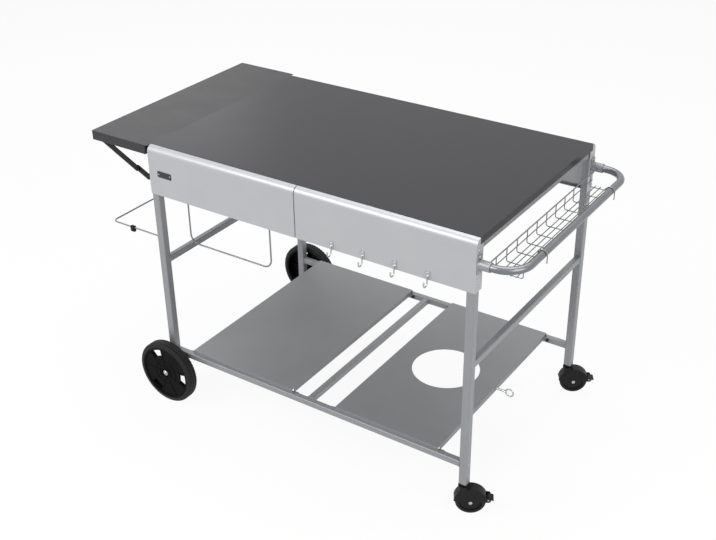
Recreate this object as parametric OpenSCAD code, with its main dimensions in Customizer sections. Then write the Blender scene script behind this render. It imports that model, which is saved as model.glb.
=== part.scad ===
// Griddle cart: a steel worktable on two large wheels and two braked swivel
// casters, with a fold-down side shelf, two lower shelves, a push handle with
// a wire rack, tool hooks, a paper roll holder and a bag loop.
// Millimetres, +Z up. The origin is on the floor, in the middle of the outline.
// +X runs to the handle end and -Y is the front.

/* [Table] */
// Length of the table between its two end faces
table_l = 1122; // [960:2:1300]
// Depth of the table between its front and back faces
table_d = 740; // [620:2:860]
// Height of the tabletop above the floor
table_h = 905; // [860:1:960]
// Thickness of the tabletop sheet
top_t = 1.5; // [1:0.1:2.5]
// Height of the skirt folded down at each end of the tabletop
skirt_h = 22; // [18:1:30]
// Width of the flange folded inwards under each end skirt
skirt_flange = 18; // [10:1:20]
// Width of the stiffening channels under the tabletop
rib_w = 40; // [24:1:60]
// Distance between the two stiffening channels
rib_pitch = 260; // [180:5:360]

/* [Aprons] */
// Height of the aprons from their lower edge to the tabletop
apron_h = 158; // [130:1:190]
// Thickness of the apron sheet
apron_t = 1.2; // [0.8:0.1:2]
// Radius of the rounded nose along the top of each apron
nose_r = 20; // [12:1:24]
// Width of the apron flange that lies under the tabletop
top_flange = 25; // [15:1:40]
// Width of the flange folded inwards along the lower edge
return_w = 12; // [8:1:16]
// Width of the plate that closes each apron at the table's ends
end_plate_w = 36; // [30:1:50]
// Gap between the two front panels
seam_gap = 3; // [1:0.5:5]
// Distance between the centre rail and the end plate at the seam
seam_off = 1.3; // [0.5:0.1:30]
// Length of the blank name plate
badge_l = 54; // [30:1:80]
// Height of the blank name plate
badge_h = 20; // [10:1:30]

/* [Legs and rails] */
// Width of the square leg tube
leg_w = 25; // [20:1:32]
// Wall of the square tubes
tube_t = 1.5; // [1:0.1:2]
// Outer corner radius of the square tubes
tube_r = 3; // [2.5:0.1:4]
// Width of the square rails and crossbars
rail_w = 20; // [16:1:25]
// Height of the lower rails above the floor, to their underside
rail_z = 166; // [150:1:220]
// Height of the end crossbars above the floor, to their underside
cross_z = 500; // [420:1:560]

/* [Lower shelves] */
// Thickness of the shelf sheet
shelf_t = 1; // [0.8:0.1:1.5]
// Depth of the lips that stand on the rails
shelf_lip = 10; // [6:1:16]
// Depth of the lips at the shelf ends, between the rails
shelf_end_lip = 16; // [14:1:24]
// Overlap of each shelf on the rails
shelf_seat = 10; // [5:1:14]
// Left end of the bottle shelf, from the table's left end
bottle_shelf_x = 97; // [60:1:130]
// Length of the bottle shelf
bottle_shelf_l = 402; // [360:2:420]
// Left end of the gas bottle shelf, from the table's left end
tank_shelf_x = 661; // [620:1:680]
// Length of the gas bottle shelf
tank_shelf_l = 360; // [320:2:370]
// Diameter of the hole for the gas bottle's foot ring
tank_hole_d = 216; // [190:1:230]

/* [Gas bottle screw] */
// Diameter of the screw
screw_d = 8; // [6:1:10]
// Outer diameter of the screw's ring
ring_d = 30; // [24:1:36]
// Thickness of the ring's wire
ring_wire = 5; // [4:0.5:6]
// Distance from the shelf's edge to the ring's centre
ring_reach = 46; // [36:1:60]

/* [Side shelf] */
// Distance from the table's end to the side shelf's outer edge
side_reach = 230; // [200:2:280]
// Height of the side shelf's skirt
side_skirt = 30; // [26:1:36]
// Thickness of the side shelf's sheet
side_t = 1.2; // [1:0.1:2]
// Step from the tabletop down to the side shelf
side_drop = 2; // [0:0.5:4]
// Distance of the hinge pin from the table's end
hinge_x = 5; // [4.8:0.1:7]
// Outer radius of the hinge knuckles
knuckle_r = 3.6; // [3:0.1:4]
// Diameter of the hinge pins
hinge_pin_d = 4; // [3:0.5:5]
// Length of each hinge
hinge_l = 60; // [45:1:90]
// Distance between the two hinges
hinge_pitch = 440; // [300:5:540]
// Width of the folding struts
strut_w = 18; // [14:1:20]
// Thickness of the folding struts
strut_t = 4; // [3:0.5:4]
// Diameter of the strut pins
strut_pin_d = 6; // [5:0.5:7]
// Distance from the hinge pin to the strut's pin on the shelf
strut_reach = 200; // [160:1:210]
// Height of the strut's upper pin above the hinge pin
strut_rise = 12; // [10:0.5:13]
// Distance of the strut's lower pin below the hinge pin
strut_drop = 82; // [60:1:100]

/* [Handle and rack] */
// Diameter of the handle tube
handle_d = 22; // [18:1:28]
// Distance from the table's end to the handle's centre line
handle_out = 114; // [90:1:140]
// Distance of the handle's centre line below the tabletop
handle_drop = 75; // [55:1:90]
// Bend radius of the handle
handle_bend = 70; // [40:1:90]
// Length of the sockets that hold the handle
socket_l = 36; // [24:1:44]
// Height of the plates that carry the sockets
socket_h = 56; // [50:1:60]
// Diameter of the rack's cross wires
rack_wire = 3; // [2.5:0.5:4]
// Depth of the rack's floor below the handle's centre line
rack_depth = 40; // [32:1:60]
// Number of cross wires
rack_n = 11; // [7:1:15]
// Distance between the rack's first and last cross wires
rack_l = 600; // [480:5:620]
// Distance between the two hooks that hang the rack over the handle
rack_hook_pitch = 444; // [300:2:470]
// Distance of the hooks' ends below the handle's centre line
rack_hook_drop = 24; // [16:1:36]

/* [Hooks and holders] */
// Number of tool hooks
hook_n = 4; // [2:1:4]
// Distance between the tool hooks
hook_pitch = 103; // [80:1:110]
// Position of the first tool hook, from the table's left end
hook_x = 672; // [620:1:700]
// Thickness of the hook wire
hook_wire = 4; // [3:0.5:5]
// Radius of the hook's curve, to the middle of its wire
hook_r = 9; // [7:0.5:12]
// Thickness of the roll holder's wire
towel_wire_d = 5; // [4:0.5:6]
// Distance between the roll holder's two arms
towel_l = 322; // [280:1:340]
// Left arm of the roll holder, from the table's left end
towel_x = 52; // [46:1:60]
// Distance of the roll holder behind the front face
towel_y = 99; // [85:1:130]
// Drop from the roll holder's pivots to its rod
towel_drop = 185; // [150:1:200]
// Bend radius at the foot of the roll holder's arms
towel_bend = 30; // [15:1:40]
// Thickness of the bag loop's wire
bag_wire = 5; // [4:0.5:6]
// Reach of the bag loop beyond the table's end
bag_reach = 205; // [150:1:220]
// Height of the bag loop above the floor
bag_z = 591; // [560:1:620]
// Corner radius of the bag loop
bag_bend = 18; // [12:1:30]
// Distance of the bag clips from the table's end
clip_x = 108; // [60:1:140]
// Length of the bag clips along the loop
clip_l = 14; // [10:1:20]

/* [Wheels] */
// Diameter of the large wheels
wheel_d = 218; // [180:2:260]
// Width of the large wheels' tyres
tyre_w = 38; // [28:1:44]
// Radial thickness of the tyres
tyre_t = 15; // [10:1:20]
// Diameter of the axle
axle_d = 12; // [10:1:14]
// Number of ribs on each wheel
wheel_ribs = 9; // [6:3:18]
// Radial width of the windows in the wheels' web
window_w = 23; // [12:1:28]
// Angle that each window spans
window_a = 32; // [20:1:50]
// How far the cap nuts stand out beyond the tyres
cap_proud = 3; // [1:0.5:8]
// Gap between a leg and its wheel, filled by a spacer
wheel_gap = 8.5; // [5:0.5:12]

/* [Casters] */
// Diameter of the caster wheels
caster_d = 90; // [75:1:100]
// Width of the caster wheels
caster_w = 24; // [18:1:28]
// Height of the neck between the caster's hood and the foot of the leg
caster_neck = 5.7; // [3:0.1:20]
// Distance from the swivel axis to the caster wheel's axle
caster_trail = 20; // [15:1:28]
// Angle that the casters stand at, from straight behind towards the back
caster_turn = 30; // [0:5:90]
// Length of the brake pedal beyond its pivot
pedal_l = 14; // [10:1:30]

/* [Hidden] */

$fn = 48;
// Clearance around a pin or shaft that turns, per side
run_fit = 0.05;
// Clearance between pieces that move past each other
gap = 0.3;

silver = "#b4b5b7";
bright = "#cfd0d2";
dark = "#3d3f44";
black = "#1d1d1f";

// Reach of the rack's hooks beyond the handle tube
rack_nub = rack_wire + 1;
handle_end = handle_out + handle_d / 2 + rack_nub;
handle_z = table_h - handle_drop;
// Left end, right end, front and back faces of the table
x0 = side_reach - (side_reach + table_l + handle_end) / 2;
x1 = x0 + table_l;
y0 = -table_d / 2;
y1 = table_d / 2;
xm = (x0 + x1) / 2;
// Middle of the seam between the front panels, left of the centre rail
seam_x = xm - rail_w / 2 - seam_off - apron_t - seam_gap / 2;

top_under = table_h - top_t;
nose_z = top_under - nose_r;
skirt_z = table_h - skirt_h;
apron_z = table_h - apron_h;

// Legs stand inside the aprons; this is the inset of a leg's middle
leg_in = apron_t + leg_w / 2;
leg_xl = x0 + leg_in;
leg_xr = x1 - leg_in;
leg_y = table_d / 2 - leg_in;
leg_face = apron_t + leg_w;
leg_top = skirt_z;
axle_z = wheel_d / 2;
left_foot = axle_z - 18;

rail_y = table_d / 2 - apron_t - rail_w / 2;
rail_in = table_d / 2 - apron_t - rail_w;
rail_top = rail_z + rail_w;
shelf_top = rail_top + shelf_lip;
shelf_half = rail_in + shelf_seat;

// Shelf ears and the bolts that hold them to the rails
ear_l = 18;
ear_z0 = rail_z + 4;
ear_z1 = rail_top - 0.5;
bolt_d = 5;
bolt_head_d = 10;
bolt_z = (ear_z0 + ear_z1) / 2;
bolt_xs = [for (e = [[bottle_shelf_x, bottle_shelf_l], [tank_shelf_x, tank_shelf_l]])
           each [x0 + e[0] - ear_l / 2, x0 + e[0] + e[1] + ear_l / 2]];

// Gas bottle screw
tank_x1 = x0 + tank_shelf_x + tank_shelf_l;
tank_mid = x0 + tank_shelf_x + tank_shelf_l / 2;
nut_af = 1.625 * screw_d;
nut_l = 0.8 * screw_d;
screw_z = shelf_top - shelf_t - nut_af / 2 - 0.5;
pad_d = nut_af - 0.2;
pad_l = 8;
pad_x = tank_mid + tank_hole_d / 2 + 1;

// Side shelf and its hinge
side_z1 = table_h - side_drop;
side_z0 = side_z1 - side_skirt;
hinge_z = side_z0 + 2;
side_lip = 2;
leaf_t = hinge_x - knuckle_r + 0.2;
side_inner = 2 * hinge_x;
leaf_h = side_z1 - side_t - hinge_z - 2;
side_y = table_d / 2 - 1;

// Folding struts: upper pin, lower pin and the lengths of the two links
pin_up = [x0 - hinge_x - strut_reach, hinge_z + strut_rise];
pin_low = [x0 - hinge_x - strut_rise, hinge_z - strut_drop];
strut_span = norm(pin_up - pin_low);
strut_folded = strut_reach - strut_drop;
link_up = (strut_span + strut_folded) / 2;
link_low = (strut_span - strut_folded) / 2;
strut_angle = atan2(pin_up[1] - pin_low[1], pin_low[0] - pin_up[0]);
// Depths of the strut's layers behind the front face of the side shelf
strut_y1 = 5;
strut_y2 = strut_y1 + strut_t + gap;
strut_y3 = strut_y2 + strut_t + gap;
plate_t = 3;
socket_t = 3;

// Handle rack
rack_rim = 21;
rack_floor = handle_z - rack_depth;
rack_up = handle_out - handle_d / 2 - rack_wire / 2 - 2;
rack_under = handle_z - handle_d / 2 - rack_wire / 2;
rack_bend = 6;

towel_z = apron_z - 15;
towel_rod_z = towel_z - towel_drop;
towel_crank = 5;
ear_t = 2;

// Wheel hub: half lengths inside and outside the wheel's middle, and the cap nut
nut_h = 6;
cap_h = 5;
hub_in = tyre_w / 2 + 2;
hub_out = tyre_w / 2 + cap_proud - cap_h - nut_h - gap;
rim_r = wheel_d / 2 - tyre_t;
wheel_y = table_d / 2 - apron_t + wheel_gap + hub_in;
caster_r = caster_d / 2;
fork_in = caster_w / 2 + 1.5;
fork_t = 3;
fork_r = caster_r + 4;
stem_d = 10;
// Head of the stem, just above the wheel, the hood's plate over it and the neck
head_d = 16;
head_t = 3;
boss_t = 6;
foot_t = 3;
wheel_top = caster_r + sqrt(pow(caster_r, 2) - pow(caster_trail - head_d / 2, 2));
head_z = wheel_top + 1.3 + head_t + gap;
caster_h = head_z + boss_t + gap + caster_neck + foot_t;
pedal_x = caster_r + 6;
pedal_z = 10;
pedal_pin_d = 5;
pedal_r = 5.5;

// Rounded square, centred
module round_square(w, h, r) {
  square([w - 2 * r, h], center = true);
  square([w, h - 2 * r], center = true);
  for (sx = [-1, 1], sy = [-1, 1])
    translate([sx * (w / 2 - r), sy * (h / 2 - r)]) circle(r, $fn = 24);
}

// Square tube section, centred
module tube_section(w) {
  difference() {
    round_square(w, w, tube_r);
    round_square(w - 2 * tube_t, w - 2 * tube_t, tube_r - tube_t);
  }
}

// Square tubes along X, Y and Z from a start point
module tube_x(at, w, l) {
  translate(at) rotate([0, 90, 0]) linear_extrude(l) tube_section(w);
}
module tube_y(at, w, l) {
  translate(at) rotate([-90, 0, 0]) linear_extrude(l) tube_section(w);
}
module tube_z(at, w, l) {
  translate(at) linear_extrude(l) tube_section(w);
}

// Round bars along X, Y and Z from a start point
module bar_x(at, d, l) {
  translate(at) rotate([0, 90, 0]) cylinder(d = d, h = l);
}
module bar_y(at, d, l) {
  translate(at) rotate([-90, 0, 0]) cylinder(d = d, h = l);
}
module bar_z(at, d, l) {
  translate(at) cylinder(d = d, h = l);
}

// Quarter bend of a round bar in the XY plane, its centre at the origin,
// from the +X side round to the +Y side
module bend(r, d) {
  rotate_extrude(angle = 90) translate([r, 0]) circle(d = d, $fn = 24);
}

// Draws its children at the front and again, mirrored, at the back
module front_and_back() {
  children();
  mirror([0, 1, 0]) children();
}

module tabletop() {
  color(dark) {
    translate([x0, y0 + nose_r, top_under]) cube([table_l, table_d - 2 * nose_r, top_t]);
    for (x = [x0, x1 - top_t])
      translate([x, y0 + nose_r, skirt_z]) cube([top_t, table_d - 2 * nose_r, skirt_h]);
    for (x = [x0, x1 - skirt_flange])
      translate([x, y0 + nose_r, skirt_z]) cube([skirt_flange, table_d - 2 * nose_r, top_t]);
  }
}

// Channels welded under the tabletop; they rest on the rails
module tabletop_ribs() {
  color(dark) for (y = [-rib_pitch / 2, rib_pitch / 2])
    translate([x0 + skirt_flange + 1, y, skirt_z]) rotate([90, 0, 90])
      linear_extrude(table_l - 2 * skirt_flange - 2) rib_section();
}
module rib_section() {
  rib_h = skirt_h - top_t;
  difference() {
    translate([-rib_w / 4, 0]) square([rib_w / 2, rib_h]);
    translate([-rib_w / 4 + apron_t, apron_t]) square([rib_w / 2 - 2 * apron_t, rib_h]);
  }
  for (s = [-1, 1])
    translate([s * rib_w * 3 / 8 - rib_w / 8, rib_h - apron_t]) square([rib_w / 4, apron_t]);
}

// Apron wall and nose, drawn with Y to the right and Z up
module apron_section() {
  translate([0, apron_z]) square([apron_t, nose_z - apron_z]);
  intersection() {
    translate([nose_r, nose_z]) difference() {
      circle(nose_r);
      circle(nose_r - apron_t);
    }
    translate([0, nose_z]) square([nose_r, nose_r]);
  }
}

// Plate that closes an apron's end: w is its width below the tabletop
module apron_end_section(w) {
  translate([0, apron_z]) square([w, skirt_z - apron_z]);
  translate([0, apron_z]) square([nose_r, nose_z - apron_z]);
  intersection() {
    translate([nose_r, nose_z]) circle(nose_r);
    translate([0, nose_z]) square([nose_r, nose_r]);
  }
}

// One apron panel from x = 0 to l; it is open round a leg at the ends that have one
module apron(l, leg_left, leg_right) {
  rotate([90, 0, 90]) linear_extrude(l) apron_section();
  translate([top_t, nose_r, top_under - apron_t]) cube([l - 2 * top_t, top_flange, apron_t]);
  a = leg_left ? leg_face + gap : 0;
  b = leg_right ? l - leg_face - gap : l;
  translate([a, 0, apron_z]) cube([b - a, return_w, apron_t]);
  apron_end(0, leg_left);
  apron_end(l - apron_t, leg_right);
}
module apron_end(x, has_leg) {
  translate([x, 0, 0]) rotate([90, 0, 90])
    linear_extrude(apron_t) apron_end_section(has_leg ? end_plate_w : return_w);
}

module front_apron_left() {
  color(silver) translate([x0, y0, 0]) apron(seam_x - seam_gap / 2 - x0, true, false);
}
module front_apron_right() {
  color(silver) translate([seam_x + seam_gap / 2, y0, 0])
    apron(x1 - seam_x - seam_gap / 2, false, true);
}
module back_apron() {
  color(silver) translate([x0, y1, 0]) mirror([0, 1, 0]) apron(table_l, true, true);
}

// Blank plate on the left front panel
module badge_plate() {
  color(dark) translate([x0 + 34 + badge_l / 2, y0, apron_z + 73]) rotate([90, 0, 0])
    linear_extrude(1) round_square(badge_l, badge_h, 3);
}

// Left leg with its holes for the axle and for the bag loop
module left_leg(y) {
  difference() {
    tube_z([leg_xl, y, left_foot], leg_w, leg_top - left_foot);
    bar_y([leg_xl, y - leg_w, axle_z], axle_d, 2 * leg_w);
    bar_x([x0 - leg_w, y, bag_z], bag_wire, leg_w + leg_in);
  }
}
module right_leg(y) {
  tube_z([leg_xr, y, caster_h], leg_w, leg_top - caster_h);
}
module leg_front_left() { color(silver) left_leg(-leg_y); }
module leg_back_left() { color(silver) left_leg(leg_y); }
module leg_front_right() { color(silver) right_leg(-leg_y); }
module leg_back_right() { color(silver) right_leg(leg_y); }

// Plastic plugs in the feet of the legs; the right ones hold the caster stems
module leg_inserts() {
  plug_w = leg_w - 2 * tube_t - 0.2;
  color(black) for (y = [-leg_y, leg_y]) {
    translate([leg_xl, y, left_foot - foot_t]) linear_extrude(foot_t)
      round_square(leg_w, leg_w, tube_r);
    translate([leg_xl, y, left_foot]) linear_extrude(leg_w / 2.5)
      round_square(plug_w, plug_w, 1);
    difference() {
      union() {
        translate([leg_xr, y, caster_h - foot_t]) linear_extrude(foot_t)
          round_square(leg_w, leg_w, tube_r);
        translate([leg_xr, y, caster_h]) linear_extrude(3 * stem_d)
          round_square(plug_w, plug_w, 1);
      }
      bar_z([leg_xr, y, caster_h - foot_t - 1], stem_d, 4 * stem_d);
    }
  }
}

module top_side_rails() {
  color(silver) for (x = [leg_xl, leg_xr])
    tube_y([x, y0 + leg_face, leg_top - rail_w / 2], rail_w, table_d - 2 * leg_face);
}
module top_centre_rail() {
  color(silver) tube_y([xm, y0 + apron_t, leg_top - rail_w / 2], rail_w,
                       table_d - 2 * apron_t);
}

// Lower rail at the front; the bolts of the shelves enter its inner wall
module lower_rail() {
  difference() {
    tube_x([x0 + leg_face, -rail_y, rail_z + rail_w / 2], rail_w, table_l - 2 * leg_face);
    for (x = bolt_xs) bar_y([x, -rail_y, bolt_z], bolt_d, rail_w);
  }
}
module lower_front_rail() { color(silver) lower_rail(); }
module lower_back_rail() { color(silver) mirror([0, 1, 0]) lower_rail(); }
module centre_bar() {
  color(silver) tube_y([xm, -rail_in, rail_z + rail_w / 2], rail_w, 2 * rail_in);
}
module crossbar(x) {
  tube_y([x, y0 + leg_face, cross_z + rail_w / 2], rail_w, table_d - 2 * leg_face);
}
module crossbar_left() { color(silver) crossbar(leg_xl); }
module crossbar_right() { color(silver) crossbar(leg_xr); }

// Shelf tray: lips stand on the rails, end lips hang between them,
// and an ear at each end of an end lip is bolted to the rail
module shelf_tray(x, l) {
  translate([x, -shelf_half, shelf_top - shelf_t]) cube([l, 2 * shelf_half, shelf_t]);
  front_and_back()
    translate([x, -shelf_half, rail_top]) cube([l, shelf_t, shelf_lip]);
  for (e = [x, x + l - shelf_t])
    translate([e, -rail_in, shelf_top - shelf_end_lip])
      cube([shelf_t, 2 * rail_in, shelf_end_lip]);
  front_and_back() for (e = [x - ear_l, x + l - shelf_t])
    difference() {
      translate([e, -rail_in, ear_z0]) cube([ear_l + shelf_t, shelf_t, ear_z1 - ear_z0]);
      for (b = bolt_xs) bar_y([b, -rail_in - 1, bolt_z], bolt_d, shelf_t + 2);
    }
}
module bottle_shelf() {
  color("#77787a") shelf_tray(x0 + bottle_shelf_x, bottle_shelf_l);
}
module tank_shelf() {
  color("#8f9092") difference() {
    shelf_tray(x0 + tank_shelf_x, tank_shelf_l);
    bar_z([tank_mid, 0, shelf_top - 2 * shelf_t], tank_hole_d, 4 * shelf_t);
    bar_x([tank_x1 - 5, 0, screw_z], screw_d + 1, 10);
  }
}
module shelf_bolts() {
  color(black) front_and_back() for (x = bolt_xs) {
    bar_y([x, -rail_in - 6, bolt_z], bolt_d, shelf_t + 6);
    bar_y([x, -rail_in + shelf_t, bolt_z], bolt_head_d, 4);
  }
}

// Nut welded behind the end lip, and the eye screw that runs through it
module screw_nut() {
  color(silver) difference() {
    translate([tank_x1 - shelf_t - nut_l, 0, screw_z]) rotate([30, 0, 0]) rotate([0, 90, 0])
      cylinder(d = nut_af / cos(30), h = nut_l, $fn = 6);
    bar_x([tank_x1 - 3 * nut_l, 0, screw_z], screw_d + 2 * run_fit, 4 * nut_l);
  }
}
module eye_screw() {
  ring_x = tank_x1 + ring_reach;
  start = pad_x + pad_l - 4;
  color(bright) {
    bar_x([start, 0, screw_z], screw_d, ring_x - ring_d / 2 + ring_wire / 2 - start);
    translate([ring_x, 0, screw_z]) rotate([90, 0, 0])
      rotate_extrude() translate([(ring_d - ring_wire) / 2, 0]) circle(d = ring_wire, $fn = 24);
  }
}
// Foot that presses on the gas bottle's ring and does not turn
module screw_pad() {
  color(black) difference() {
    bar_x([pad_x, 0, screw_z], pad_d, pad_l);
    bar_x([pad_x + pad_l - 4 - gap, 0, screw_z], screw_d + 2 * run_fit, 10);
  }
}

module side_shelf() {
  outer = x0 - side_reach;
  inner = x0 - side_inner;
  color(black) {
    translate([outer, -side_y, side_z1 - side_t])
      cube([side_reach - side_lip, 2 * side_y, side_t]);
    translate([outer, -side_y, side_z0]) cube([side_t, 2 * side_y, side_skirt]);
    translate([inner - side_t, -side_y, side_z0]) cube([side_t, 2 * side_y, side_skirt]);
    front_and_back()
      translate([outer, -side_y, side_z0]) cube([inner - outer, side_t, side_skirt]);
  }
}

// Leaf of a hinge: s is the side it lies on, +1 for the table and -1 for the shelf
module hinge_leaf(s, own) {
  n = 3;
  part = hinge_l / n;
  flat = s > 0 ? hinge_x - leaf_t : -hinge_x;
  difference() {
    union() {
      translate([flat, -hinge_l / 2, knuckle_r + 1]) cube([leaf_t, hinge_l, leaf_h - knuckle_r]);
      for (i = own) translate([0, (i - n / 2) * part, 0]) {
        bar_y([0, gap / 2, 0], 2 * knuckle_r, part - gap);
        translate([flat, gap / 2, 0]) cube([leaf_t, part - gap, knuckle_r + 2]);
      }
    }
    bar_y([0, -hinge_l, 0], hinge_pin_d + 2 * run_fit, 2 * hinge_l);
  }
}
module at_hinges() {
  for (y = [-hinge_pitch / 2, hinge_pitch / 2])
    translate([x0 - hinge_x, y, hinge_z]) children();
}
module hinge_leaves_fixed() {
  color(black) at_hinges() hinge_leaf(1, [0, 2]);
}
module hinge_leaves_moving() {
  color(black) at_hinges() hinge_leaf(-1, [1]);
}
module hinge_pins() {
  color(silver) at_hinges() bar_y([0, -hinge_l / 2, 0], hinge_pin_d, hinge_l);
}

// Flat link along +X from its first pin, drawn in the XZ plane, l between pins
module link(l) {
  rotate([-90, 0, 0]) linear_extrude(strut_t) {
    translate([0, -strut_w / 2]) square([l, strut_w]);
    circle(d = strut_w);
    translate([l, 0]) circle(d = strut_w);
  }
}
// Upper link, hung from the shelf, with the head of the elbow's rivet
module strut_upper() {
  translate([pin_up[0], y0 + strut_y1, pin_up[1]]) rotate([0, strut_angle, 0]) {
    difference() {
      link(link_up);
      bar_y([0, -1, 0], strut_pin_d + 2 * run_fit, strut_t + 2);
    }
    bar_y([link_up, -2, 0], 1.5 * strut_pin_d, 2);
  }
}
// Lower link, pinned to the leg, with the tail of the elbow's rivet
module strut_lower() {
  translate([pin_low[0], y0 + strut_y2, pin_low[1]]) rotate([0, 180 + strut_angle, 0]) {
    difference() {
      link(link_low);
      bar_y([0, -1, 0], strut_pin_d + 2 * run_fit, strut_t + 2);
    }
    bar_y([link_low, strut_t, 0], 1.5 * strut_pin_d, 2);
  }
}
module strut_upper_front() { color(black) strut_upper(); }
module strut_lower_front() { color(black) strut_lower(); }
module strut_upper_back() { color(black) mirror([0, 1, 0]) strut_upper(); }
module strut_lower_back() { color(black) mirror([0, 1, 0]) strut_lower(); }

// Ears under the side shelf, with the pins of the upper links
module strut_hangers() {
  ear_r = strut_w / 2 - 1;
  foot_l = 1.75 * ear_r;
  sheet = side_z1 - side_t;
  color(black) front_and_back() translate([pin_up[0], y0, pin_up[1]]) {
    translate([-foot_l, strut_y2, sheet - pin_up[1] - 2]) cube([2 * foot_l, foot_l, 2]);
    translate([-ear_r, strut_y2, 0]) cube([2 * ear_r, plate_t, sheet - pin_up[1] - 2]);
    bar_y([0, strut_y2, 0], 2 * ear_r, plate_t);
    bar_y([0, strut_y1 - gap, 0], strut_pin_d, strut_y2 - strut_y1 + gap);
    bar_y([0, strut_y1 - gap - 2, 0], 1.5 * strut_pin_d, 2);
  }
}
// Brackets on the table's left end, with the pins of the lower links
module strut_anchors() {
  ear_r = strut_w / 2;
  color(black) front_and_back() translate([pin_low[0], y0, pin_low[1]]) {
    reach = x0 - pin_low[0];
    translate([reach - plate_t, strut_y3 - 7, -ear_r - 7])
      cube([plate_t, 1.5 * strut_w - 3, 2 * ear_r + 14]);
    translate([0, strut_y3, -ear_r]) cube([reach - plate_t, plate_t, 2 * ear_r]);
    bar_y([0, strut_y3, 0], 2 * ear_r, plate_t);
    bar_y([0, strut_y2, 0], strut_pin_d, strut_y3 - strut_y2);
    bar_y([0, strut_y3 + plate_t, 0], 1.5 * strut_pin_d, 2);
  }
}

// Button head with a hexagon socket, standing on its face towards +X
module bolt_head() {
  rotate([0, 90, 0]) difference() {
    intersection() {
      cylinder(d = 9, h = 2.5);
      translate([0, 0, -3.5]) sphere(r = 6);
    }
    translate([0, 0, 1.3]) cylinder(d = 4.6, h = 3, $fn = 6);
  }
}
// Bolts at both ends of the table: lower rails, aprons and handle sockets
module frame_bolts() {
  edge = 15;
  plate_edge = 7;
  color(bright) front_and_back() {
    for (z = [apron_z + edge, skirt_z - edge])
      translate([x0, -leg_y, z]) mirror([1, 0, 0]) bolt_head();
    for (z = [apron_z + edge, handle_z + socket_h / 2 + edge - 5])
      translate([x1, -leg_y, z]) bolt_head();
    z = rail_z + rail_w / 2;
    translate([x0 + apron_t, -leg_y, z]) mirror([1, 0, 0]) bolt_head();
    translate([x1 - apron_t, -leg_y, z]) bolt_head();
    for (s = [-1, 1])
      translate([x1 + plate_t, -leg_y, handle_z + s * (socket_h / 2 - plate_edge)]) bolt_head();
  }
}

// Route of the handle as a solid bar of diameter d, from its front socket to its back one
module handle_route(d) {
  start = x1 + plate_t;
  straight = handle_out - handle_bend;
  front_and_back() {
    bar_x([start, -leg_y, handle_z], d, x1 + straight - start);
    translate([x1 + straight, handle_bend - leg_y, handle_z]) rotate([0, 0, -90])
      bend(handle_bend, d);
  }
  bar_y([x1 + handle_out, handle_bend - leg_y, handle_z], d, 2 * (leg_y - handle_bend));
}
module handle_tube() {
  color(bright) difference() {
    handle_route(handle_d);
    handle_route(handle_d - 2 * tube_t);
  }
}
module handle_sockets() {
  color(silver) front_and_back() difference() {
    union() {
      translate([x1, -leg_y, handle_z]) rotate([90, 0, 90]) linear_extrude(plate_t)
        round_square(leg_w, socket_h, 4);
      bar_x([x1, -leg_y, handle_z], handle_d + 2 * socket_t, socket_l);
    }
    bar_x([x1 + plate_t, -leg_y, handle_z], handle_d, socket_l);
  }
}

// One cross wire of the rack, drawn in the XZ plane from the rim to under the handle
module rack_cross(y) {
  d = rack_wire;
  r = rack_bend;
  translate([x1, y, 0]) {
    bar_z([rack_rim, 0, rack_floor + r], d, handle_z - rack_floor - r);
    translate([rack_rim + r, 0, rack_floor + r]) rotate([90, 180, 0]) bend(r, d);
    bar_x([rack_rim + r, 0, rack_floor], d, rack_up - rack_rim - 2 * r);
    translate([rack_up - r, 0, rack_floor + r]) rotate([90, 90, 0]) bend(r, d);
    bar_z([rack_up, 0, rack_floor + r], d, rack_under - rack_floor - 2 * r);
    translate([rack_up + r, 0, rack_under - r]) rotate([90, -90, 0]) bend(r, d);
    bar_x([rack_up + r, 0, rack_under], d, handle_out - rack_up - r);
  }
}
// Hook of the rack: it rises from the long wire, lies on the handle and ends outside it
module rack_hook(y) {
  r = handle_end - handle_out - rack_wire / 2;
  z = handle_z + handle_d / 2 + rack_wire / 2 + run_fit - r;
  foot = handle_z - rack_depth / 2;
  tip = handle_z - rack_hook_drop;
  translate([x1 + handle_out, y, 0]) {
    bar_z([-r, 0, foot], rack_wire, z - foot);
    bar_z([r, 0, tip], rack_wire, z - tip);
    translate([0, 0, z]) rotate([90, 0, 0]) rotate_extrude(angle = 180)
      translate([r, 0]) circle(d = rack_wire, $fn = 24);
  }
}
// Wire rack inside the handle: a rim between the handle's arms, cross wires and floor wires
module spice_rack() {
  rim_y = leg_y - handle_d / 2 - socket_t;
  floor_xs = [for (i = [1 : 4]) rack_rim + i * (rack_up - rack_rim) / 5];
  long_y = rack_l / 2 + 8;
  color(bright) {
    bar_y([x1 + rack_rim, -rim_y, handle_z], rack_wire + 1, 2 * rim_y);
    for (i = [0 : rack_n - 1]) rack_cross((i / (rack_n - 1) - 0.5) * rack_l);
    for (s = [-1, 1]) rack_hook(s * rack_hook_pitch / 2);
    for (x = floor_xs)
      bar_y([x1 + x, -long_y, rack_floor + rack_wire - 0.5], rack_wire, 2 * long_y);
    for (p = [[rack_rim + rack_wire - 0.5, handle_z - rack_depth / 2],
              [rack_up + rack_wire - 0.5, handle_z - rack_depth / 2]])
      bar_y([x1 + p[0], -long_y, p[1]], rack_wire, 2 * long_y);
  }
}

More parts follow.
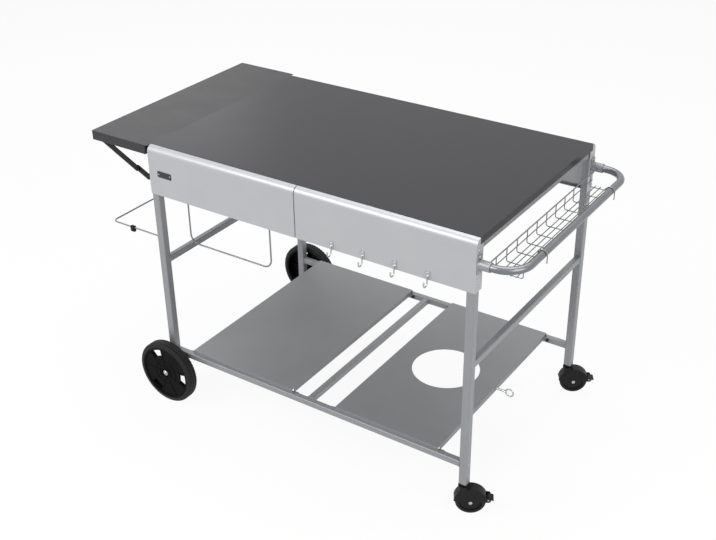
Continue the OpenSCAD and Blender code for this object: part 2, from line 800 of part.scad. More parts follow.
// Hooks along the lower edge of the right front panel: a tab and a curled wire
module tool_hook() {
  tab_h = 26;
  translate([0, -0.75, tab_h / 2]) rotate([90, 0, 0])
    linear_extrude(1.5, center = true) round_square(14, tab_h, 3);
  translate([0, -1 - hook_wire / 2, 0]) {
    bar_z([0, 0, -8], hook_wire, 20);
    translate([0, -hook_r, -8]) rotate([0, 90, 0]) rotate([0, 0, 0])
      rotate_extrude(angle = 90) translate([hook_r, 0]) circle(d = hook_wire, $fn = 24);
    translate([0, -hook_r, -8]) rotate([0, 90, 0]) rotate([0, 0, -90])
      rotate_extrude(angle = 90) translate([hook_r, 0]) circle(d = hook_wire, $fn = 24);
    bar_z([0, -2 * hook_r, -8], hook_wire, 6);
    translate([0, -2 * hook_r, -2]) sphere(d = hook_wire + 2, $fn = 24);
  }
}
module tool_hooks() {
  color(bright) for (i = [0 : hook_n - 1])
    translate([x0 + hook_x + i * hook_pitch, y0, apron_z]) tool_hook();
}

// Strips under the left front panel, each with an ear for the roll holder's wire
module towel_brackets() {
  color(silver) for (s = [0, 1]) {
    arm = x0 + towel_x + s * towel_l;
    ear = s == 0 ? arm - 8 : arm + 8 - ear_t;
    translate([arm - 9, y0 + 3, apron_z - 2]) cube([18, towel_y + 9, 2]);
    difference() {
      translate([ear, y0 + towel_y - 9, towel_z - 8]) cube([ear_t, 18, apron_z - towel_z + 6]);
      bar_x([ear - 1, y0 + towel_y, towel_z], towel_wire_d + 2 * run_fit, ear_t + 2);
    }
  }
}
// Wire that carries the paper roll, bent out at its top ends into the ears
module towel_wire() {
  d = towel_wire_d;
  half = towel_l / 2;
  r = towel_bend;
  color(bright) translate([x0 + towel_x + half, y0 + towel_y, 0]) for (s = [0, 1])
    mirror([s, 0, 0]) {
      bar_x([half + towel_crank, 0, towel_z], d, 14 - towel_crank);
      translate([half + towel_crank, 0, towel_z - towel_crank]) rotate([90, -90, 0])
        bend(towel_crank, d);
      bar_z([half, 0, towel_rod_z + r], d, towel_drop - r - towel_crank);
      translate([half - r, 0, towel_rod_z + r]) rotate([90, 90, 0]) bend(r, d);
      bar_x([0, 0, towel_rod_z], d, half - r);
    }
}

// Wire loop for the bag, its ends held in the left legs
module bag_loop() {
  edge = x0 - bag_reach + bag_wire / 2;
  inside = x0 + leg_in + 6;
  color(bright) {
    front_and_back() {
      bar_x([edge + bag_bend, -leg_y, bag_z], bag_wire, inside - edge - bag_bend);
      translate([edge + bag_bend, bag_bend - leg_y, bag_z]) rotate([0, 0, 180])
        bend(bag_bend, bag_wire);
    }
    bar_y([edge, bag_bend - leg_y, bag_z], bag_wire, 2 * (leg_y - bag_bend));
  }
}
module bag_grommets() {
  color(black) front_and_back() difference() {
    bar_x([x0 + apron_t - 5, -leg_y, bag_z], 14, 5);
    bar_x([x0 - 10, -leg_y, bag_z], bag_wire, 20);
  }
}
// Spring clips that pinch the bag on the loop's arms
module bag_clips() {
  color(black) front_and_back() difference() {
    translate([x0 - clip_x - clip_l, -leg_y, bag_z - 4]) rotate([0, 90, 0])
      linear_extrude(clip_l) round_square(4 * bag_wire, 2.2 * bag_wire, 3);
    bar_x([x0 - clip_x - 1.5 * clip_l, -leg_y, bag_z], bag_wire, 2 * clip_l);
    translate([x0 - clip_x - 1.5 * clip_l, -leg_y - 0.6, bag_z - 6 * bag_wire])
      cube([2 * clip_l, 1.2, 6 * bag_wire]);
  }
}

module axle() {
  half = wheel_y + hub_out + gap + nut_h;
  color(silver) bar_y([leg_xl, -half, axle_z], axle_d, 2 * half);
}
// Spacers between the legs and the wheels, and the cap nuts outside the wheels
module axle_hardware() {
  nut_y = wheel_y + hub_out + gap;
  nut_d = 1.75 * axle_d;
  dome_d = 17;
  color(bright) front_and_back() {
    difference() {
      bar_y([leg_xl, -table_d / 2 + apron_t - wheel_gap + gap, axle_z], 22, wheel_gap - gap);
      bar_y([leg_xl, -wheel_y, axle_z], axle_d, 2 * hub_in);
    }
    difference() {
      union() {
        translate([leg_xl, -nut_y - nut_h, axle_z]) rotate([-90, 0, 0])
          cylinder(d = nut_d, h = nut_h, $fn = 6);
        translate([leg_xl, -nut_y - nut_h - cap_h + dome_d / 2, axle_z]) difference() {
          sphere(d = dome_d);
          bar_y([0, cap_h + nut_h - dome_d / 2, 0], dome_d, dome_d);
        }
      }
      bar_y([leg_xl, -nut_y - nut_h, axle_z], axle_d, 3 * nut_h);
    }
  }
}

// Moulded wheel centre about the Y axis, outer side towards +Z before it is turned:
// hub, rim, a web near the outer face with three windows, and ribs behind the web
module wheel_core() {
  hub_r = 19;
  rim_t = 6;
  web_t = 5;
  rib_t = 3;
  rib_h = 10;
  rim_w = tyre_w - 2;
  web_z = rim_w / 2 - 2 - web_t;
  window_r = rim_r - rim_t - window_w - 3;
  rotate([90, 0, 0]) difference() {
    union() {
      translate([0, 0, -hub_in]) cylinder(r = hub_r, h = hub_in + web_z + web_t + 1);
      translate([0, 0, web_z]) cylinder(r = rim_r - rim_t / 2, h = web_t);
      difference() {
        cylinder(r = rim_r, h = rim_w, center = true);
        cylinder(r = rim_r - rim_t, h = rim_w + 2, center = true);
      }
      for (i = [0 : wheel_ribs - 1]) rotate([0, 0, (i + 0.5) * 360 / wheel_ribs + 116])
        translate([hub_r - 2, -rib_t / 2, web_z - rib_h])
          cube([rim_r - rim_t - hub_r + 4, rib_t, rib_h + 1]);
    }
    for (a = [116, 236, 356]) rotate([0, 0, a - window_a / 2]) translate([0, 0, -hub_in])
      rotate_extrude(angle = window_a) translate([window_r, 0]) square([window_w, 3 * hub_in]);
    translate([0, 0, hub_out]) cylinder(r = hub_r - 4, h = hub_in);
    cylinder(d = axle_d + 2 * run_fit, h = 4 * hub_in, center = true);
  }
}
// Rubber tyre with a rounded crown and two grooves
module wheel_tyre() {
  crown = 8;
  r = wheel_d / 2;
  rotate([90, 0, 0]) difference() {
    rotate_extrude() translate([rim_r, 0]) {
      translate([0, -tyre_w / 2]) square([tyre_t - crown, tyre_w]);
      translate([0, -tyre_w / 2 + crown]) square([tyre_t, tyre_w - 2 * crown]);
      for (s = [-1, 1]) translate([tyre_t - crown, s * (tyre_w / 2 - crown)])
        circle(crown, $fn = 32);
    }
    for (s = [-1, 1]) translate([0, 0, s * tyre_w / 7]) rotate_extrude()
      translate([r - 2, -1.25]) square([4, 2.5]);
    cylinder(r = rim_r, h = 2 * tyre_w, center = true);
  }
}
module wheel_core_front() {
  color(black) translate([leg_xl, -wheel_y, axle_z]) wheel_core();
}
module wheel_core_back() {
  color(black) translate([leg_xl, wheel_y, axle_z]) mirror([0, 1, 0]) wheel_core();
}
module wheel_tyre_front() {
  color(black) translate([leg_xl, -wheel_y, axle_z]) wheel_tyre();
}
module wheel_tyre_back() {
  color(black) translate([leg_xl, wheel_y, axle_z]) wheel_tyre();
}

// Casters. Each is drawn about its swivel axis with its wheel trailing towards +X,
// and then turned to the angle that it stands at
module at_caster(y) {
  translate([leg_xr, y, 0]) rotate([0, 0, caster_turn]) children();
}
module caster_stems() {
  color(silver) for (y = [-leg_y, leg_y]) at_caster(y) {
    bar_z([0, 0, head_z - gap - head_t], stem_d, caster_h + 2 * stem_d - head_z);
    bar_z([0, 0, head_z - gap - head_t], head_d, head_t);
    bar_z([0, 0, head_z + boss_t + gap], leg_w - 1, caster_neck);
  }
}
// Hooded fork: two cheeks, a hood over the wheel and a boss round the stem
module caster_fork() {
  hub = [caster_trail, 0, caster_r];
  wide = fork_in + fork_t;
  difference() {
    union() {
      translate(hub) rotate([90, 0, 0]) linear_extrude(2 * wide, center = true) cheek();
      bar_z([0, 0, caster_r + 12], 2 * head_d + 2, head_z + boss_t - caster_r - 12);
    }
    translate(hub) rotate([90, 0, 0])
      cylinder(r = caster_r + 1.8, h = 2 * fork_in, center = true);
    translate(hub) translate([0, -fork_in, -caster_r]) cube([pedal_x + 20, 2 * fork_in, caster_r + 20]);
    translate(hub) translate([-2 * caster_r, -fork_in, -caster_r])
      cube([2 * caster_r, 2 * fork_in, caster_r + 8]);
    bar_z([0, 0, caster_r], stem_d + 2 * run_fit, caster_h);
    bar_z([0, 0, caster_r], head_d + 1, head_z - caster_r);
    translate(hub) bar_y([0, -2 * wide, 0], 8, 4 * wide);
    translate(hub) bar_y([pedal_x, -2 * wide, pedal_z], pedal_pin_d, 4 * wide);
  }
}
// Side outline of the fork about the wheel's axle, with a lug for the pedal's pin
module cheek() {
  intersection() {
    circle(fork_r);
    translate([-fork_r, 4]) square([2 * fork_r, fork_r]);
  }
  translate([-13, 0]) square([26, 8]);
  circle(13);
  translate([pedal_x, pedal_z]) circle(8);
  translate([pedal_x - 20, pedal_z - 8]) square([20, 16]);
}
module caster_axle() {
  wide = fork_in + fork_t;
  translate([caster_trail, 0, caster_r]) {
    bar_y([0, -wide, 0], 8, 2 * wide);
    for (s = [-1, 1]) translate([0, s * (wide + 1), 0]) rotate([90, 0, 0])
      cylinder(d = 11, h = 2, center = true);
    translate([pedal_x, 0, pedal_z]) bar_y([0, -wide, 0], pedal_pin_d, 2 * wide);
  }
}
// Solid wheel with recessed sides and a rounded tread
module caster_wheel() {
  crown = 6;
  translate([caster_trail, 0, caster_r]) rotate([90, 0, 0]) difference() {
    rotate_extrude() {
      translate([0, -caster_w / 2]) square([caster_r - crown, caster_w]);
      translate([0, -caster_w / 2 + crown]) square([caster_r, caster_w - 2 * crown]);
      for (s = [-1, 1]) translate([caster_r - crown, s * (caster_w / 2 - crown)])
        circle(crown, $fn = 32);
    }
    for (s = [-1, 1]) translate([0, 0, s * caster_w / 2]) difference() {
      cylinder(r = caster_r - 11, h = 8, center = true);
      cylinder(r = 10, h = 10, center = true);
    }
    cylinder(d = 8 + 2 * run_fit, h = 2 * caster_w, center = true);
  }
}
// Pedal that turns on the fork's pin; its cam comes round to the tread
module brake_pedal() {
  translate([caster_trail + pedal_x, 0, caster_r + pedal_z]) rotate([90, 0, 0])
    linear_extrude(2 * (fork_in - gap), center = true) difference() {
      union() {
        circle(pedal_r);
        translate([-3.2, -2.4]) circle(2.5);
        rotate(-12) square([pedal_l, 4]);
        rotate(-12) translate([pedal_l, 2]) circle(2);
      }
      circle(d = pedal_pin_d + 2 * run_fit);
    }
}
module caster_fork_front() { color(black) at_caster(-leg_y) caster_fork(); }
module caster_fork_back() { color(black) at_caster(leg_y) caster_fork(); }
module caster_axle_front() { color(bright) at_caster(-leg_y) caster_axle(); }
module caster_axle_back() { color(bright) at_caster(leg_y) caster_axle(); }
module caster_wheel_front() { color(black) at_caster(-leg_y) caster_wheel(); }
module caster_wheel_back() { color(black) at_caster(leg_y) caster_wheel(); }
module brake_pedal_front() { color(black) at_caster(-leg_y) brake_pedal(); }
module brake_pedal_back() { color(black) at_caster(leg_y) brake_pedal(); }

tabletop();
tabletop_ribs();
front_apron_left();
front_apron_right();
back_apron();
leg_front_left();
leg_front_right();
leg_back_left();
leg_back_right();
leg_inserts();
frame_bolts();
top_side_rails();
top_centre_rail();
lower_front_rail();
lower_back_rail();
centre_bar();
crossbar_left();
crossbar_right();
bottle_shelf();
tank_shelf();
shelf_bolts();
screw_nut();
screw_pad();
eye_screw();
side_shelf();
hinge_leaves_fixed();
hinge_leaves_moving();
hinge_pins();
strut_hangers();
strut_anchors();
strut_upper_front();
strut_lower_front();
strut_upper_back();
strut_lower_back();
handle_tube();
handle_sockets();
spice_rack();
tool_hooks();
badge_plate();
towel_brackets();
towel_wire();
bag_loop();
bag_grommets();
bag_clips();
axle();
axle_hardware();
wheel_core_front();
wheel_core_back();
wheel_tyre_front();
wheel_tyre_back();
caster_stems();
caster_fork_front();
caster_fork_back();
caster_axle_front();
caster_axle_back();
caster_wheel_front();
caster_wheel_back();
brake_pedal_front();
brake_pedal_back();
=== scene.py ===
"""Griddle cart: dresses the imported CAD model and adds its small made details.

Everything is in metres, in the CAD model's own frame: +X runs to the handle
end, -Y is the front and +Z is up, with the origin on the floor.
"""

import logging
import math
from dataclasses import dataclass, field
from enum import Enum
from typing import ClassVar

import bmesh
import bpy
import numpy as np
from mathutils import Matrix, Vector

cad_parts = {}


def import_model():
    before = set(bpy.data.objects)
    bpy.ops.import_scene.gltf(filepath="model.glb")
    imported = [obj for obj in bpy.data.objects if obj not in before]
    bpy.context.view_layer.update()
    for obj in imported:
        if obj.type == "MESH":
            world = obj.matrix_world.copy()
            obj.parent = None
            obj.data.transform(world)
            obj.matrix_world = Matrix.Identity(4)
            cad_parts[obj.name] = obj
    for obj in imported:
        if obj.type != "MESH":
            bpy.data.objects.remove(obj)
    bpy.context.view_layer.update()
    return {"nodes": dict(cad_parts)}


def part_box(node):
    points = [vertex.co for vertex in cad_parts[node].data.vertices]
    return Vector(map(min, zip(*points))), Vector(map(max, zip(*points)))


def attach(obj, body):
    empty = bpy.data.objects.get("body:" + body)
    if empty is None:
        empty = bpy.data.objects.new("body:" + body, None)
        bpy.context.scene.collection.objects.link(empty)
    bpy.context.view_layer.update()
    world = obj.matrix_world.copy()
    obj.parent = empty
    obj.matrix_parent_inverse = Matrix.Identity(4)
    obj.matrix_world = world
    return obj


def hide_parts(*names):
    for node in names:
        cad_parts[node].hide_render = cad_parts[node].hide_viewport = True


LOG = logging.getLogger("griddle_cart")
MM = 0.001
# Points nearer to each other than this are one
SAME_POINT = 1e-6
WHITE = (1.0, 1.0, 1.0, 1.0)

# Points (any shape, ending in 3) and quads (n by 4 point numbers)
Grid = tuple[np.ndarray, np.ndarray]


# Materials


def linear(hex_colour: str) -> tuple[float, float, float, float]:
    """Turn an sRGB hex colour into Blender's linear colour.

    Args:
        hex_colour: six hex digits, such as "8A8B8D".

    Returns:
        Linear red, green and blue, with an alpha of 1.
    """
    parts = [int(hex_colour[i:i + 2], 16) / 255 for i in (0, 2, 4)]
    lin = [c / 12.92 if c <= 0.04045 else ((c + 0.055) / 1.055) ** 2.4 for c in parts]
    return (lin[0], lin[1], lin[2], 1.0)


def shown(sockets: bpy.types.bpy_prop_collection, key: str | int) -> bpy.types.NodeSocket:
    """Find a socket by its number, or the one of a name that is in use.

    Args:
        sockets: a node's inputs or outputs.
        key: the number or the name.

    Returns:
        The socket.
    """
    if isinstance(key, int):
        return sockets[key]
    return next(s for s in sockets if s.name == key and s.enabled)


def add_node(tree: bpy.types.NodeTree, kind: str,
             inputs: dict[str | int, object] | None = None,
             **settings: object) -> bpy.types.Node:
    """Add a shader node with its settings and links.

    Args:
        tree: the node tree.
        kind: the node's type name.
        inputs: socket name or index to a value, or to an output socket to link.
        **settings: attributes set on the node itself.

    Returns:
        The new node.
    """
    node = tree.nodes.new(kind)
    for name, value in settings.items():
        setattr(node, name, value)
    for key, value in (inputs or {}).items():
        socket = shown(node.inputs, key)
        if isinstance(value, bpy.types.NodeSocket):
            tree.links.new(value, socket)
        else:
            socket.default_value = value
    return node


def per_metre(size_mm: float) -> float:
    """Scale of a noise whose features are about size_mm across."""
    return 1.0 / (size_mm * MM)


class Surface(Enum):
    """How a finish's surface breaks up the light."""

    SPRAYED = "orange peel of a baked powder"
    PLATED = "fine mottle of a plated or oxidised metal"
    MOULDED = "spark-eroded grain of a mould"
    CURED = "open grain of cured rubber"


@dataclass(frozen=True)
class Finish:
    """A surface finish, from which one material is made.

    The colour wanders a little between tone and deep over a hand's width, the
    roughness with it, and a fine bump of the surface's own size lies on top.
    Worn is the colour of rubbed edges, and none are rubbed where it is empty.
    """

    # Octaves of the noise that each kind of surface is drawn with
    DETAIL: ClassVar[dict[Surface, float]] = {
        Surface.SPRAYED: 2.0, Surface.PLATED: 4.0, Surface.CURED: 6.0}
    # Octaves of the slow drift, and how far the roughness goes with it
    DRIFT_DETAIL: ClassVar[float] = 3.0
    SWAY: ClassVar[float] = 0.12
    BUMP: ClassVar[float] = 0.6
    # Radius of a worn edge, how far its normal must turn, and how bare it gets
    EDGE: ClassVar[float] = 0.9 * MM
    EDGE_TURN: ClassVar[tuple[float, float]] = (0.995, 0.90)
    BARE: ClassVar[float] = 0.55

    name: str
    tone: str
    deep: str
    roughness: float
    metallic: float
    surface: Surface
    grain_mm: float
    bump_mm: float
    worn: str = ""
    drift_mm: float = 90.0
    specular: float = 0.5

    def grain(self, tree: bpy.types.NodeTree, point: bpy.types.NodeSocket) -> bpy.types.NodeSocket:
        """Add the height pattern of the surface.

        Args:
            tree: the material's node tree.
            point: the Object coordinates.

        Returns:
            The pattern's output socket.
        """
        if self.surface is Surface.MOULDED:
            cells = add_node(tree, "ShaderNodeTexVoronoi",
                             {"Vector": point, "Scale": per_metre(self.grain_mm)})
            return cells.outputs["Distance"]
        noise = add_node(tree, "ShaderNodeTexNoise",
                         {"Vector": point, "Scale": per_metre(self.grain_mm),
                          "Detail": self.DETAIL[self.surface]})
        return noise.outputs["Fac"]

    def material(self) -> bpy.types.Material:
        """Build the finish's material.

        Returns:
            The material, with its whole node tree.
        """
        mat = bpy.data.materials.new(self.name)
        mat.use_nodes = True
        mat.diffuse_color = linear(self.tone)
        tree = mat.node_tree
        tree.nodes.clear()
        point = add_node(tree, "ShaderNodeTexCoord").outputs["Object"]
        drift = add_node(tree, "ShaderNodeTexNoise",
                         {"Vector": point, "Scale": per_metre(self.drift_mm),
                          "Detail": self.DRIFT_DETAIL})
        colour = shown(add_node(tree, "ShaderNodeMix",
                                {"Factor": drift.outputs["Fac"], "A": linear(self.deep),
                                 "B": linear(self.tone)}, data_type="RGBA").outputs, "Result")
        fine = self.grain(tree, point)
        if self.worn:
            colour = self.wear(tree, colour, fine)
        rough = add_node(tree, "ShaderNodeMapRange",
                         {"Value": drift.outputs["Fac"],
                          "To Min": self.roughness * (1 - self.SWAY),
                          "To Max": min(1.0, self.roughness * (1 + self.SWAY))})
        bump = add_node(tree, "ShaderNodeBump",
                        {"Height": fine, "Strength": self.BUMP, "Distance": self.bump_mm * MM})
        shader = add_node(tree, "ShaderNodeBsdfPrincipled",
                          {"Base Color": colour, "Roughness": rough.outputs["Result"],
                           "Metallic": self.metallic, "Specular IOR Level": self.specular,
                           "Normal": bump.outputs["Normal"]})
        add_node(tree, "ShaderNodeOutputMaterial", {"Surface": shader.outputs["BSDF"]})
        return mat

    def wear(self, tree: bpy.types.NodeTree, colour: bpy.types.NodeSocket,
             fine: bpy.types.NodeSocket) -> bpy.types.NodeSocket:
        """Rub the colour thin along the piece's edges.

        The edge is where the rounded normal leaves the true one; the grain
        breaks the rubbed line up.

        Args:
            tree: the material's node tree.
            colour: the colour so far.
            fine: the surface's own grain.

        Returns:
            The colour with its edges worn.
        """
        soft = add_node(tree, "ShaderNodeBevel", {"Radius": self.EDGE}, samples=4)
        true = add_node(tree, "ShaderNodeNewGeometry").outputs["Normal"]
        same = add_node(tree, "ShaderNodeVectorMath",
                        {0: soft.outputs["Normal"], 1: true}, operation="DOT_PRODUCT")
        kept, turned = self.EDGE_TURN
        edge = add_node(tree, "ShaderNodeMapRange",
                        {"Value": same.outputs["Value"], "From Min": kept, "From Max": turned,
                         "To Min": 0.0, "To Max": self.BARE})
        rubbed = add_node(tree, "ShaderNodeMath",
                          {0: edge.outputs["Result"], 1: fine}, operation="MULTIPLY")
        mixed = add_node(tree, "ShaderNodeMix",
                         {"Factor": rubbed.outputs["Value"], "A": colour, "B": linear(self.worn)},
                         data_type="RGBA")
        return shown(mixed.outputs, "Result")


# Real orange peel is 1 to 2 mm across, and the mottle of plating and the grain
# of a mould or of rubber are 0.1 to 0.3 mm. All are drawn coarser than that, so
# that they show in a picture of the whole cart.

# Silver polyester powder coat on steel tube: a soft metallic grey, hardly
# glossy, with its edges rubbed pale
FRAME_SILVER = Finish("silver powder coat", "98999C", "909194", roughness=0.42, metallic=0.35,
                      surface=Surface.SPRAYED, grain_mm=3.0, bump_mm=0.05, worn="D8D9DB")
# The same powder on folded sheet, sprayed thicker: paler and a little smoother
PANEL_SILVER = Finish("silver powder coat on sheet", "B9BABC", "B2B3B6", roughness=0.38,
                      metallic=0.30, surface=Surface.SPRAYED, grain_mm=4.0, bump_mm=0.04,
                      worn="DCDDDE")
# A darker batch of it on the shelves, rubbed dull where things stand
SHELF_SILVER = Finish("grey powder coat on shelf sheet", "939496", "8A8B8D", roughness=0.45,
                      metallic=0.25, surface=Surface.SPRAYED, grain_mm=3.5, bump_mm=0.05,
                      worn="C8C9CB")
# Charcoal baked enamel on the tabletop: smooth and faintly glossy
TOP_CHARCOAL = Finish("charcoal baked enamel", "2A292E", "242328", roughness=0.34, metallic=0.0,
                      surface=Surface.SPRAYED, grain_mm=5.0, bump_mm=0.03, worn="6A6B70",
                      specular=0.22)
# Black powder coat with a fine texture: a soft sheen and no clear reflection
BLACK_COAT = Finish("black powder coat", "27272A", "212124", roughness=0.50, metallic=0.0,
                    surface=Surface.SPRAYED, grain_mm=2.2, bump_mm=0.08, worn="48484B")
# Black oxide on pressed steel: oily black, greyer where it rubs
BLACK_STEEL = Finish("black oxide steel", "1A1A1C", "151517", roughness=0.45, metallic=0.3,
                     surface=Surface.PLATED, grain_mm=1.6, bump_mm=0.03, worn="505053",
                     specular=0.3)
# Zinc plating on fasteners and short wire: a bright, slightly blurred mirror
BRIGHT_PLATE = Finish("bright zinc plate", "BDBFC2", "A9ABAF", roughness=0.24, metallic=1.0,
                      surface=Surface.PLATED, grain_mm=1.2, bump_mm=0.02)
# The same plating gone dull on long bent wire, which greys it
WIRE_PLATE = Finish("dull zinc-plated wire", "8F9194", "7E8084", roughness=0.36, metallic=0.9,
                    surface=Surface.PLATED, grain_mm=1.2, bump_mm=0.02)
# Satin nickel on the drawn handle tube: a long soft highlight along it
HANDLE_PLATE = Finish("satin nickel tube", "828386", "75767A", roughness=0.30, metallic=0.8,
                      surface=Surface.PLATED, grain_mm=1.8, bump_mm=0.02)
# Black polypropylene, moulded with a spark-eroded grain: matt with a faint sheen
BLACK_PP = Finish("moulded black polypropylene", "151516", "101011", roughness=0.50, metallic=0.0,
                  surface=Surface.MOULDED, grain_mm=1.4, bump_mm=0.05, specular=0.22)
# The same polymer in the wheel centres, blacker and duller
WHEEL_PP = Finish("matt black wheel polypropylene", "0F0F10", "0B0B0C", roughness=0.52,
                  metallic=0.0, surface=Surface.MOULDED, grain_mm=1.4, bump_mm=0.05,
                  specular=0.06)
# Carbon-black rubber, cured in a mould and dusty from use: a dull dark grey
TYRE_RUBBER = Finish("cured black rubber", "1A1A1B", "121213", roughness=0.60, metallic=0.0,
                     surface=Surface.CURED, grain_mm=1.0, bump_mm=0.10, drift_mm=35.0,
                     specular=0.26)


# Meshes


def circle(steps: int) -> np.ndarray:
    """Angles of a full turn in equal steps, the last short of the first."""
    return np.linspace(0, math.tau, steps, endpoint=False)


def grid_faces(rows: int, cols: int, wrap_rows: bool, wrap_cols: bool) -> np.ndarray:
    """Quads of a grid of points, row by row.

    Args:
        rows: number of rows.
        cols: number of columns.
        wrap_rows: join the last row to the first.
        wrap_cols: join the last column to the first.

    Returns:
        An array of four point numbers a face.
    """
    r = np.arange(rows if wrap_rows else rows - 1)
    c = np.arange(cols if wrap_cols else cols - 1)
    i, j = np.meshgrid(r, c, indexing="ij")
    i2, j2 = (i + 1) % rows, (j + 1) % cols
    quads = np.stack([i * cols + j, i2 * cols + j, i2 * cols + j2, i * cols + j2], -1)
    return quads.reshape(-1, 4)


def join(parts: list[Grid]) -> Grid:
    """Join several grids into one, their point numbers shifted to follow on.

    Args:
        parts: the grids.

    Returns:
        Points and quads.
    """
    points, quads, base = [], [], 0
    for p, q in parts:
        points.append(p.reshape(-1, 3))
        quads.append(q + base)
        base += points[-1].shape[0]
    return np.concatenate(points), np.concatenate(quads)


def make_piece(name: str, grid: Grid, material: bpy.types.Material, body: str) -> bpy.types.Object:
    """Make a smooth closed piece that rides on a CAD body.

    Doubled points are merged, and then every face is turned outwards.

    Args:
        name: the piece's name.
        grid: its points, in metres, and quads.
        material: its material.
        body: the CAD body that it rides on.

    Returns:
        The object, at the origin.
    """
    points, quads = grid
    mesh = bpy.data.meshes.new(name)
    mesh.from_pydata(points.reshape(-1, 3).tolist(), [], quads.tolist())
    mesh.validate()
    mesh.polygons.foreach_set("use_smooth", np.full(len(mesh.polygons), True))
    mesh.materials.append(material)
    soup = bmesh.new()
    soup.from_mesh(mesh)
    bmesh.ops.remove_doubles(soup, verts=soup.verts, dist=SAME_POINT)
    bmesh.ops.recalc_face_normals(soup, faces=soup.faces)
    soup.to_mesh(mesh)
    soup.free()
    mesh.update()
    piece = bpy.data.objects.new(name, mesh)
    bpy.context.scene.collection.objects.link(piece)
    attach(piece, body)
    LOG.info("piece %s: %d points on %s", name, len(mesh.vertices), body)
    return piece


def revolve(profile: np.ndarray, centre: tuple[float, float, float], steps: int,
            closed: bool = True) -> Grid:
    """Turn a profile (radius, height) about the Y direction through centre.

    Point (i, j) = centre + height[j] * Y + radius[j] * (sin i * X + cos i * Z).

    Args:
        profile: k by 2 values of radius and height.
        centre: a point of the axis.
        steps: points round the axis.
        closed: join the profile's ends; an open one starts and ends on the axis.

    Returns:
        Points and quads.
    """
    turn = circle(steps)[:, None]
    r, h = profile[None, :, 0], np.broadcast_to(profile[:, 1], (steps, len(profile)))
    points = np.stack((r * np.sin(turn), h, r * np.cos(turn)), -1) + np.array(centre)
    return points, grid_faces(steps, len(profile), True, closed)


def dome(radius: float, height: float, centre: tuple[float, float, float],
         rows: int = 7, steps: int = 20) -> Grid:
    """A low rivet head standing against Y: a quarter ellipse turned round it.

    Its outline is radius * cos t and -height * sin t, for t from 0 to a
    quarter turn.

    Args:
        radius: of the head's foot.
        height: of its crown.
        centre: the middle of its foot.
        rows: points from the foot to the crown.
        steps: points round it.

    Returns:
        Points and quads.
    """
    t = np.linspace(0, math.pi / 2, rows)
    outline = np.stack([radius * np.cos(t), -height * np.sin(t)], -1)
    outline[-1, 0] = 0.0
    return revolve(np.concatenate([[[0.0, 0.0]], outline]), centre, steps, closed=False)


@dataclass
class Face:
    """A flat face with beads moulded on it.

    The face lies in centre, level and rise, its own direction is up, and each
    bead is an ellipse that is 2 * half_w wide and proud high.
    """

    centre: np.ndarray
    level: np.ndarray
    rise: np.ndarray
    up: np.ndarray
    half_w: float
    proud: float
    sides: int = 12
    rib_steps: int = 25
    blunt: int = 8

    def out(self, turn: np.ndarray) -> np.ndarray:
        """Directions from the middle: level * cos a + rise * sin a."""
        return np.cos(turn)[:, None] * self.level + np.sin(turn)[:, None] * self.rise

    def bead(self, path: np.ndarray, across: np.ndarray, closed: bool) -> Grid:
        """Carry the ellipse along a path.

        Point (i, j) = path[i] + taper[i] * (half_w * cos j * across[i] + proud *
        sin j * up), where taper is 1 on a closed path and (1 - u^blunt)^(1/blunt)
        on an open one, with u running from -1 to 1 along it.

        Args:
            path: n by 3, the bead's middle line on the face.
            across: n by 3, the direction over the line and along the face.
            closed: the path returns to its start.

        Returns:
            Points and quads.
        """
        u, t = np.linspace(-1, 1, len(path)), circle(self.sides)
        ends = np.clip(1 - u ** self.blunt, 0, 1) ** (1 / self.blunt)
        taper = np.ones(len(path)) if closed else ends
        flat = (self.half_w * taper[:, None] * np.cos(t))[..., None] * across[:, None, :]
        high = (self.proud * taper[:, None] * np.sin(t))[..., None] * self.up
        return path[:, None, :] + flat + high, grid_faces(len(path), self.sides, closed, True)

    def curve(self, radius: float, turn: np.ndarray, closed: bool) -> Grid:
        """A bead along centre + radius * out(a), over the given turn."""
        return self.bead(self.centre + radius * self.out(turn), self.out(turn), closed)

    def ribs(self, inner: float, outer: float, turns: np.ndarray) -> list[Grid]:
        """Straight beads along spokes.

        A rib runs over centre + reach * out(a), with reach from inner to outer,
        and its side is the direction a quarter turn on.

        Args:
            inner: where the ribs start.
            outer: where they end.
            turns: the angle of each.

        Returns:
            The ribs.
        """
        reach = np.linspace(inner, outer, self.rib_steps)[:, None]
        sides = self.out(turns + math.pi / 2)
        return [self.bead(self.centre + reach * spoke, np.broadcast_to(side, (len(reach), 3)),
                          closed=False)
                for spoke, side in zip(self.out(turns), sides)]


@dataclass
class Span:
    """A CAD node's box at rest, in metres."""

    low: Vector
    high: Vector

    @classmethod
    def of(cls, node: str) -> "Span":
        """The box of the node of that name."""
        return cls(*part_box(node))

    @property
    def mid(self) -> Vector:
        """The middle of the box."""
        return (self.low + self.high) / 2

    @property
    def size(self) -> Vector:
        """The box's three sides."""
        return self.high - self.low


# Sub-assemblies


